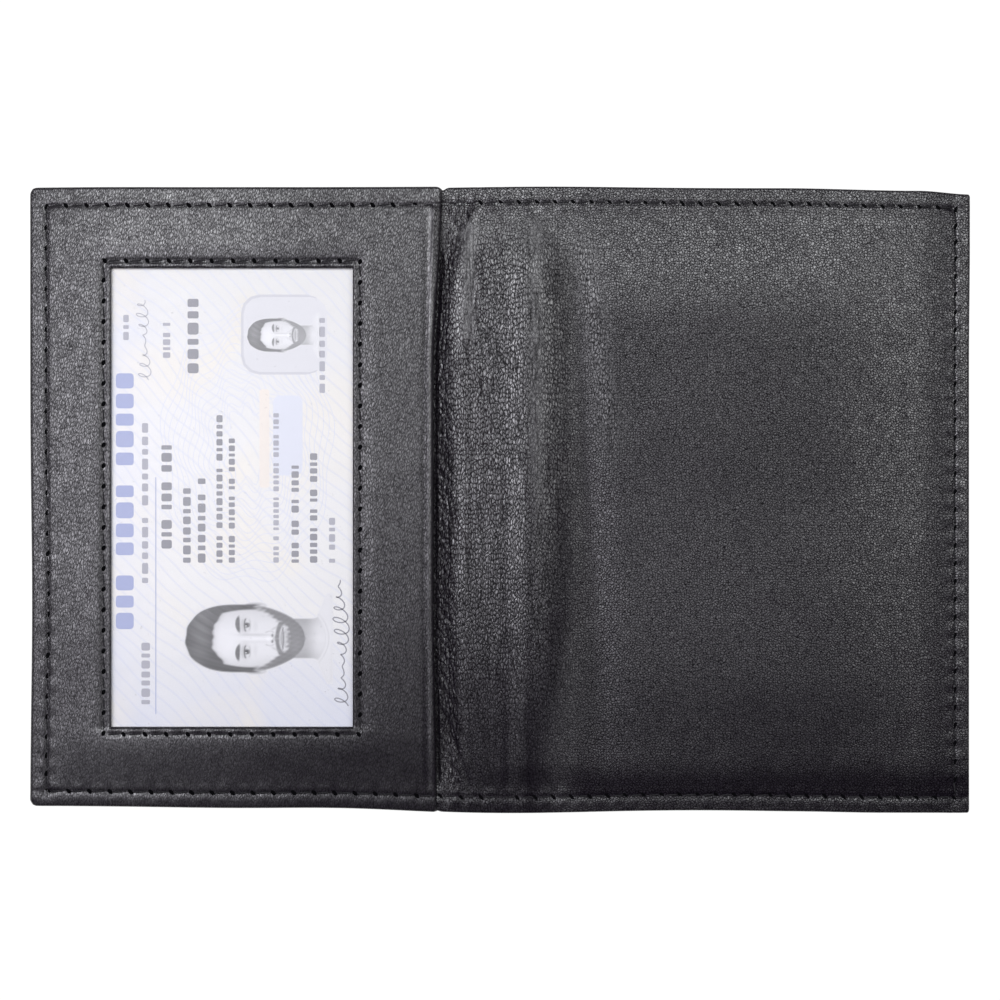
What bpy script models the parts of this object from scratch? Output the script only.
"""Leather credit card holder: a bifold that lies open, with an ID window pocket on its left half.

Metres, +Z up. The origin is on the table under the middle of the open holder, and the fold runs
along Y at x = 0. What the outer size leaves round a standard card is the sewn rim of its pocket.
"""

import math

import bmesh
import bpy

MM = 0.001

# Driving dimensions, in millimetres
OPEN_WIDTH = 152.4
HEIGHT = 101.6
CORNER_LEFT = 1.2
CORNER_RIGHT = 0.6

# The standard card, its room in the pocket, and the pocket's mouth
CARD_LONG = 85.6
CARD_SHORT = 53.98
CARD_THICKNESS = 0.76
CARD_CORNER = 3.18
CARD_SIDE_ROOM = 2.0
CARD_END_ROOM = 1.0
CARD_MOUTH_MARGIN = 1.1
MOUTH_FROM_FOLD = 10.4

# Thickness of each layer, and the clearances between them

LAYER_GAP = 0.1
END_GAP = 0.3
STRIP_THICKNESS = 0.6
COVER_THICKNESS = 0.8
LINING_THICKNESS = 0.2
WINDOW_THICKNESS = 0.25
FRAME_THICKNESS = 0.9
LINER_THICKNESS = 0.6
EDGE_ROUND = 0.2

# Card slots on the outside: how far a card stands out of the deepest slot, and the step between mouths
CARD_GRIP = 9.0
SLOT_COUNT = 3
SLOT_STEP = 10.0

# Window pocket, and the crease line of a turned hem
HEM_CREASE_INSET = 1.35
CREASE_DEPTH = 0.15
CREASE_WIDTH = 0.4
WINDOW_OVER_CARD = 2.38
WINDOW_WIDTH = 39.2
WINDOW_HEIGHT = 74.4
WINDOW_CORNER = 0.6
WINDOW_SHIFT_Y = 0.4
WINDOW_MARGIN = 3.0
PVC_CORNER = 1.0
WINDOW_SEAM_INSET = 1.2
WINDOW_STITCH = 3.4

# Seams
SEAM_INSET = 2.6
SEAM_STITCH = 3.3
THREAD_RADIUS = 0.2
THREAD_LIFT = 0.12
GROOVE_HALF_WIDTH = 0.4
GROOVE_DEPTH = 0.4

# Soft liner: its stitched flange, the roll over the fold, and the puffed panel
FLANGE_RISE = 0.7
STITCH_DIP = 0.25
HUMP_FOOT_FROM_MOUTH = 1.0
HUMP_FLANK = 4.8
HUMP_RIGHT_TOP = 2.6
HUMP_RIGHT_FOOT = 12.5
HUMP_TOP_INSET = 4.2
HUMP_TOP_RUN = 6.6
HUMP_FADE_INSET = 3.8
HUMP_FADE_RUN = 33.0
HUMP_FADE_KEEP = 0.35
HUMP_LOW_END = 4.0
PUFF_RISE = 0.9
PUFF_BORDER = 14.0

# How finely the soft liner and the stitches are drawn, and how far a cutter runs past a face
LINER_ROWS = 19
ROLL_COLUMNS = 7
PANEL_COLUMNS = 10
POINTS_PER_STITCH = 3
CUT_PAST = 1.0

# Half the open holder's width and height
HALF_WIDTH = OPEN_WIDTH / 2
HALF_HEIGHT = HEIGHT / 2

# Heights of the layers, from the table up
COVER_BOTTOM = SLOT_COUNT * (STRIP_THICKNESS + LAYER_GAP)
COVER_TOP = COVER_BOTTOM + COVER_THICKNESS
LINING_BOTTOM = COVER_TOP + LAYER_GAP
CARD_BOTTOM = LINING_BOTTOM + LINING_THICKNESS + LAYER_GAP
CARD_TOP = CARD_BOTTOM + CARD_THICKNESS
WINDOW_BOTTOM = CARD_TOP + LAYER_GAP
WINDOW_TOP = WINDOW_BOTTOM + WINDOW_THICKNESS
FRAME_BOTTOM = WINDOW_TOP + LAYER_GAP
FRAME_TOP = FRAME_BOTTOM + FRAME_THICKNESS
HINGE_Z = FRAME_TOP + LAYER_GAP
FLANGE_TOP = LINING_BOTTOM + FLANGE_RISE
HUMP_CREST = FRAME_TOP - LAYER_GAP

# Places along the width
SPINE_HALF = math.pi / 2 * (HINGE_Z - (COVER_BOTTOM + COVER_TOP) / 2)
MOUTH_X = -MOUTH_FROM_FOLD
CARD_X1 = MOUTH_X - CARD_MOUTH_MARGIN
CARD_X0 = CARD_X1 - CARD_SHORT
POCKET_X0 = CARD_X0 - CARD_END_ROOM
POCKET_Y1 = CARD_LONG / 2 + CARD_SIDE_ROOM
WINDOW_X0 = CARD_X0 + WINDOW_OVER_CARD
WINDOW_X1 = WINDOW_X0 + WINDOW_WIDTH
WINDOW_Y0 = WINDOW_SHIFT_Y - WINDOW_HEIGHT / 2
WINDOW_Y1 = WINDOW_SHIFT_Y + WINDOW_HEIGHT / 2
SLOT_FIRST_MOUTH = HALF_WIDTH - SEAM_INSET - CARD_SHORT + CARD_GRIP

BLACK_LEATHER = (0.022, 0.021, 0.024, 1.0)


def clear_scene():
    for obj in list(bpy.data.objects):
        bpy.data.objects.remove(obj, do_unlink=True)


def new_collection(name):
    collection = bpy.data.collections.new(name)
    bpy.context.scene.collection.children.link(collection)
    return collection


def material(name, colour, roughness, metallic=0.0, alpha=1.0):
    mat = bpy.data.materials.new(name)
    mat.use_nodes = True
    shader = mat.node_tree.nodes["Principled BSDF"]
    shader.inputs["Base Color"].default_value = colour
    shader.inputs["Roughness"].default_value = roughness
    shader.inputs["Metallic"].default_value = metallic
    shader.inputs["Alpha"].default_value = alpha
    return mat


def add_mesh_object(name, bm, collection, mat=None):
    """A mesh in millimetres becomes an object in metres."""
    bmesh.ops.scale(bm, vec=(MM, MM, MM), verts=bm.verts)
    bmesh.ops.recalc_face_normals(bm, faces=bm.faces)
    mesh = bpy.data.meshes.new(name)
    bm.to_mesh(mesh)
    bm.free()
    obj = bpy.data.objects.new(name, mesh)
    collection.objects.link(obj)
    if mat:
        mesh.materials.append(mat)
    return obj


def block(low, high, corners=None, segments=4):
    """A box whose upright edges are rounded: corners gives (left radius, right radius)."""
    bm = bmesh.new()
    bmesh.ops.create_cube(bm, size=1.0)
    size = [high[i] - low[i] for i in range(3)]
    middle = [(high[i] + low[i]) / 2 for i in range(3)]
    bmesh.ops.scale(bm, vec=size, verts=bm.verts)
    bmesh.ops.translate(bm, vec=middle, verts=bm.verts)
    for side, radius in zip((-1, 1), corners or (0, 0)):
        if radius <= 0:
            continue
        upright = [
            e for e in bm.edges
            if abs(e.verts[0].co.z - e.verts[1].co.z) > size[2] / 2
            and (e.verts[0].co.x - middle[0]) * side > size[0] / 4
        ]
        bmesh.ops.bevel(
            bm, geom=upright, offset=radius, segments=segments, profile=0.5, affect="EDGES"
        )
    return bm


def round_edges(obj, width=EDGE_ROUND, segments=2):
    bevel = obj.modifiers.new("Rounded edges", "BEVEL")
    bevel.width = width * MM
    bevel.segments = segments
    bevel.limit_method = "ANGLE"
    bevel.angle_limit = math.radians(40)


def cut(obj, cutter):
    boolean = obj.modifiers.new("Cut " + cutter.name, "BOOLEAN")
    boolean.operation = "DIFFERENCE"
    boolean.solver = "EXACT"
    boolean.object = cutter


def cutter_block(name, low, high, cutters, corners=None):
    cutter = add_mesh_object(name, block(low, high, corners), cutters)
    cutter.hide_render = True
    cutter.display_type = "WIRE"
    return cutter


def sheet(name, low, high, corners, collection, mat):
    obj = add_mesh_object(name, block(low, high, corners), collection, mat)
    round_edges(obj)
    return obj


def smoothstep(start, end, value):
    t = min(1.0, max(0.0, (value - start) / (end - start)))
    return t * t * (3 - 2 * t)


def liner_top(x, y):
    """Height of the soft liner: stitched flange, the roll over the fold, and the puffed panel."""
    foot = MOUTH_X + HUMP_FOOT_FROM_MOUTH
    rise = smoothstep(foot, foot + HUMP_FLANK, x)
    fall = 1 - smoothstep(HUMP_RIGHT_TOP, HUMP_RIGHT_FOOT, x)
    top = HALF_HEIGHT - HUMP_TOP_INSET
    top_end = smoothstep(top, top - HUMP_TOP_RUN, y)
    low = -HALF_HEIGHT + HUMP_FADE_INSET
    fade = 1 - (1 - HUMP_FADE_KEEP) * smoothstep(low + HUMP_FADE_RUN, low, y)
    low_seam = -HALF_HEIGHT + SEAM_INSET
    bottom_end = smoothstep(low_seam, low_seam + HUMP_LOW_END, y)
    hump = (HUMP_CREST - FLANGE_TOP) * rise * fall * top_end * fade * bottom_end
    seam_x = HALF_WIDTH - SEAM_INSET
    seam_y = HALF_HEIGHT - SEAM_INSET
    puff = (
        PUFF_RISE
        * smoothstep(HUMP_RIGHT_FOOT, HUMP_RIGHT_FOOT + PUFF_BORDER, x)
        * smoothstep(seam_x, seam_x - PUFF_BORDER, x)
        * smoothstep(seam_y, seam_y - PUFF_BORDER, abs(y))
    )
    on_seam = max(
        0.0,
        1 - abs(abs(y) - seam_y) / GROOVE_HALF_WIDTH,
        1 - abs(x - seam_x) / GROOVE_HALF_WIDTH if abs(y) < seam_y else 0.0,
    )
    return FLANGE_TOP + hump + puff - STITCH_DIP * min(1.0, on_seam)


def spread(low, high, count):
    return [low + (high - low) * i / (count - 1) for i in range(count)]


def seam_lines(seam, outward):
    """Grid lines that give the stitched groove its shape, from the inside out."""
    return [seam + outward * step * GROOVE_HALF_WIDTH for step in (-1, 0, 1)]


def liner(name, x_lines, y_lines, collection, mat):
    """A sheet over a grid of lines, with a flat underside wherever it lies on the cover."""
    columns, rows = len(x_lines) - 1, len(y_lines) - 1
    bm = bmesh.new()
    bmesh.ops.create_grid(bm, x_segments=columns, y_segments=rows, size=0.5)
    for vert in bm.verts:
        x = x_lines[round((vert.co.x + 0.5) * columns)]
        y = y_lines[round((vert.co.y + 0.5) * rows)]
        vert.co = (x, y, liner_top(x, y))
    lower = bmesh.ops.extrude_face_region(bm, geom=bm.faces[:])
    for item in lower["geom"]:
        if isinstance(item, bmesh.types.BMVert):
            item.co.z = max(item.co.z - LINER_THICKNESS, LINING_BOTTOM)
    obj = add_mesh_object(name, bm, collection, mat)
    obj.data.shade_smooth()
    obj.data.set_sharp_from_angle(angle=math.radians(40))
    return obj


def stitched_path(corners, pitch, height, closed=False):
    """Points of a thread that dives at each needle hole and rises between them."""
    points = []
    for start, end in path_legs(corners, closed):
        steps = POINTS_PER_STITCH * max(1, round(math.dist(start, end) / pitch))
        for i in range(steps):
            x = start[0] + (end[0] - start[0]) * i / steps
            y = start[1] + (end[1] - start[1]) * i / steps
            lift = 0.0 if i % POINTS_PER_STITCH == 0 else THREAD_LIFT
            points.append((x, y, height(x, y) + lift))
    if not closed:
        x, y = corners[-1]
        points.append((x, y, height(x, y)))
    return points


def thread(name, points, closed, collection, mat):
    curve = bpy.data.curves.new(name, "CURVE")
    curve.dimensions = "3D"
    curve.bevel_depth = THREAD_RADIUS * MM
    curve.bevel_resolution = 0
    curve.use_fill_caps = True
    spline = curve.splines.new("POLY")
    spline.points.add(len(points) - 1)
    for point, place in zip(spline.points, points):
        point.co = (place[0] * MM, place[1] * MM, place[2] * MM, 1.0)
    spline.use_cyclic_u = closed
    curve.materials.append(mat)
    obj = bpy.data.objects.new(name, curve)
    collection.objects.link(obj)
    return obj


def rectangle(x0, x1, y0, y1):
    return [(x0, y0), (x1, y0), (x1, y1), (x0, y1)]


def build_cover(parts, leather):
    y = HALF_HEIGHT
    low_z, high_z = COVER_BOTTOM, COVER_TOP
    inner = SPINE_HALF + LAYER_GAP
    sheet("cover_left", (-HALF_WIDTH, -y, low_z), (-inner, y, high_z), (CORNER_LEFT, 0), parts, leather)
    sheet("cover_right", (inner, -y, low_z), (HALF_WIDTH, y, high_z), (0, CORNER_RIGHT), parts, leather)
    sheet("cover_spine", (-SPINE_HALF, -y, low_z), (SPINE_HALF, y, high_z), None, parts, leather)


def slot_strip(name, side, mouth, bottom, corners, parts, cutters, leather):
    """A strip from its mouth to the outer edge, with the crease of its turned hem on the outside."""
    y = HALF_HEIGHT
    ends = sorted((side * mouth, side * HALF_WIDTH))
    low, high = (ends[0], -y, bottom), (ends[1], y, bottom + STRIP_THICKNESS)
    strip = sheet(name, low, high, corners, parts, leather)
    crease = side * (mouth + HEM_CREASE_INSET)
    crease_low = (crease - CREASE_WIDTH / 2, -y - CUT_PAST, bottom - CUT_PAST)
    crease_high = (crease + CREASE_WIDTH / 2, y + CUT_PAST, bottom + CREASE_DEPTH)
    cut(strip, cutter_block(name + "_crease", crease_low, crease_high, cutters))


def build_slots(parts, cutters, leather):
    """Strip 1 is the outermost and shortest, and the last lies on the cover."""
    for index in range(SLOT_COUNT):
        bottom = index * (STRIP_THICKNESS + LAYER_GAP)
        mouth = SLOT_FIRST_MOUTH + (SLOT_COUNT - 1 - index) * SLOT_STEP
        number = str(index + 1)
        left, right = (CORNER_LEFT, 0), (0, CORNER_RIGHT)
        slot_strip("slot_strip_left_" + number, -1, mouth, bottom, left, parts, cutters, leather)
        slot_strip("slot_strip_right_" + number, 1, mouth, bottom, right, parts, cutters, leather)


def path_legs(corners, closed):
    ends = corners[1:] + corners[:1] if closed else corners[1:]
    return list(zip(corners, ends))


def cut_groove(obj, name, corners, closed, cutters):
    """A square channel along a stitch line, cut down from the frame's top."""
    w = GROOVE_HALF_WIDTH
    for number, (start, end) in enumerate(path_legs(corners, closed)):
        low = (min(start[0], end[0]) - w, min(start[1], end[1]) - w, FRAME_TOP - GROOVE_DEPTH)
        high = (max(start[0], end[0]) + w, max(start[1], end[1]) + w, FRAME_TOP + GROOVE_DEPTH)
        cut(obj, cutter_block(name + "_" + str(number), low, high, cutters))


def build_frame(parts, cutters, leather):
    """The window frame: turned rims on its three sewn sides, and a pocket channel open to the fold."""
    y = HALF_HEIGHT
    frame = add_mesh_object(
        "id_frame",
        block((-HALF_WIDTH, -y, LINING_BOTTOM), (MOUTH_X, y, FRAME_TOP), (CORNER_LEFT, 0)),
        parts, leather,
    )
    below, above = LINING_BOTTOM - CUT_PAST, FRAME_TOP + CUT_PAST
    opening_low = (WINDOW_X0, WINDOW_Y0, below)
    opening_high = (WINDOW_X1, WINDOW_Y1, above)
    corners = (WINDOW_CORNER, WINDOW_CORNER)
    cut(frame, cutter_block("window_opening", opening_low, opening_high, cutters, corners))
    round_edges(frame)
    channel_low = (POCKET_X0, -POCKET_Y1, below)
    channel_high = (MOUTH_X + CUT_PAST, POCKET_Y1, FRAME_BOTTOM)
    cut(frame, cutter_block("pocket_channel", channel_low, channel_high, cutters))
    crease_x = MOUTH_X - HEM_CREASE_INSET
    crease_low = (crease_x - CREASE_WIDTH / 2, -y - CUT_PAST, FRAME_TOP - CREASE_DEPTH)
    crease_high = (crease_x + CREASE_WIDTH / 2, y + CUT_PAST, above)
    cut(frame, cutter_block("hem_crease", crease_low, crease_high, cutters))
    cut_groove(frame, "window_groove", window_seam(), True, cutters)
    cut_groove(frame, "edge_groove", frame_seam(), False, cutters)


def window_seam():
    inset = WINDOW_SEAM_INSET
    return rectangle(WINDOW_X0 - inset, WINDOW_X1 + inset, WINDOW_Y0 - inset, WINDOW_Y1 + inset)


def frame_seam():
    """The outer seam over the frame, running out past its mouth at both ends."""
    x, y = -HALF_WIDTH + SEAM_INSET, HALF_HEIGHT - SEAM_INSET
    past = MOUTH_X + CUT_PAST
    return [(past, y), (x, y), (x, -y), (past, -y)]


def build_pocket(parts, lining, pvc, plastic):
    add_mesh_object(
        "pocket_lining",
        block(
            (POCKET_X0 + END_GAP, -POCKET_Y1 + END_GAP, LINING_BOTTOM),
            (MOUTH_X, POCKET_Y1 - END_GAP, LINING_BOTTOM + LINING_THICKNESS),
        ),
        parts, lining,
    )
    add_mesh_object(
        "id_window",
        block(
            (WINDOW_X0 - WINDOW_MARGIN, WINDOW_Y0 - WINDOW_MARGIN, WINDOW_BOTTOM),
            (WINDOW_X1 + WINDOW_MARGIN, WINDOW_Y1 + WINDOW_MARGIN, WINDOW_TOP),
            (PVC_CORNER, PVC_CORNER), 2,
        ),
        parts, pvc,
    )
    add_mesh_object(
        "id_card",
        block(
            (CARD_X0, -CARD_LONG / 2, CARD_BOTTOM), (CARD_X1, CARD_LONG / 2, CARD_TOP),
            (CARD_CORNER, CARD_CORNER), 6,
        ),
        parts, plastic,
    )


def build_liner(parts, leather):
    seam_y = HALF_HEIGHT - SEAM_INSET
    top_seam = seam_lines(seam_y, 1)
    inside_y = spread(-top_seam[0], top_seam[0], LINER_ROWS)
    outer_y = top_seam[1:] + [HALF_HEIGHT]
    y_lines = [-y for y in reversed(outer_y)] + inside_y + outer_y
    side_seam = seam_lines(HALF_WIDTH - SEAM_INSET, 1)
    roll = spread(LAYER_GAP, HUMP_RIGHT_FOOT, ROLL_COLUMNS)
    panel = spread(HUMP_RIGHT_FOOT, side_seam[0], PANEL_COLUMNS)
    x_lines = roll + panel[1:] + side_seam[1:] + [HALF_WIDTH]
    liner("liner_panel", x_lines, y_lines, parts, leather)
    liner("liner_roll_left", spread(MOUTH_X + END_GAP, -LAYER_GAP, ROLL_COLUMNS + 1), y_lines, parts, leather)


def build_threads(parts, cotton):
    rest = LAYER_GAP + THREAD_RADIUS
    in_groove = FRAME_TOP - GROOVE_DEPTH + rest
    window = stitched_path(window_seam(), WINDOW_STITCH, lambda x, y: in_groove, True)
    thread("window_thread", window, True, parts, cotton)

    on_liner = FLANGE_TOP + rest
    drop = MOUTH_X + END_GAP + THREAD_RADIUS

    def left_height(x, y):
        return in_groove if x < MOUTH_X else on_liner

    x, y = -HALF_WIDTH + SEAM_INSET, HALF_HEIGHT - SEAM_INSET
    start = [(-END_GAP, y), (drop, y)]
    upper = stitched_path(start, SEAM_STITCH, left_height)
    over = stitched_path([(drop, y), (x, y), (x, -y), (drop, -y)], SEAM_STITCH, lambda a, b: in_groove)
    lower = stitched_path([(drop, -y), (-END_GAP, -y)], SEAM_STITCH, left_height)
    thread("seam_thread_left", upper + over + lower, False, parts, cotton)

    right = [(END_GAP, y), (-x, y), (-x, -y), (END_GAP, -y)]
    path = stitched_path(right, SEAM_STITCH, lambda a, b: on_liner)
    thread("seam_thread_right", path, False, parts, cotton)


def main():
    clear_scene()
    parts = new_collection("credit_card_holder")
    cutters = new_collection("cutters")
    leather = material("black_leather", BLACK_LEATHER, 0.45)
    soft_leather = material("soft_black_leather", (0.024, 0.023, 0.026, 1.0), 0.4)
    lining = material("lining_fabric", (0.03, 0.03, 0.035, 1.0), 0.9)
    pvc = material("clear_pvc", (0.9, 0.92, 0.95, 1.0), 0.08, alpha=0.3)
    plastic = material("card_plastic", (0.78, 0.8, 0.86, 1.0), 0.35)
    cotton = material("black_thread", (0.015, 0.015, 0.017, 1.0), 0.6)
    build_cover(parts, leather)
    build_slots(parts, cutters, leather)
    build_frame(parts, cutters, leather)
    build_pocket(parts, lining, pvc, plastic)
    build_liner(parts, soft_leather)
    build_threads(parts, cotton)


main()
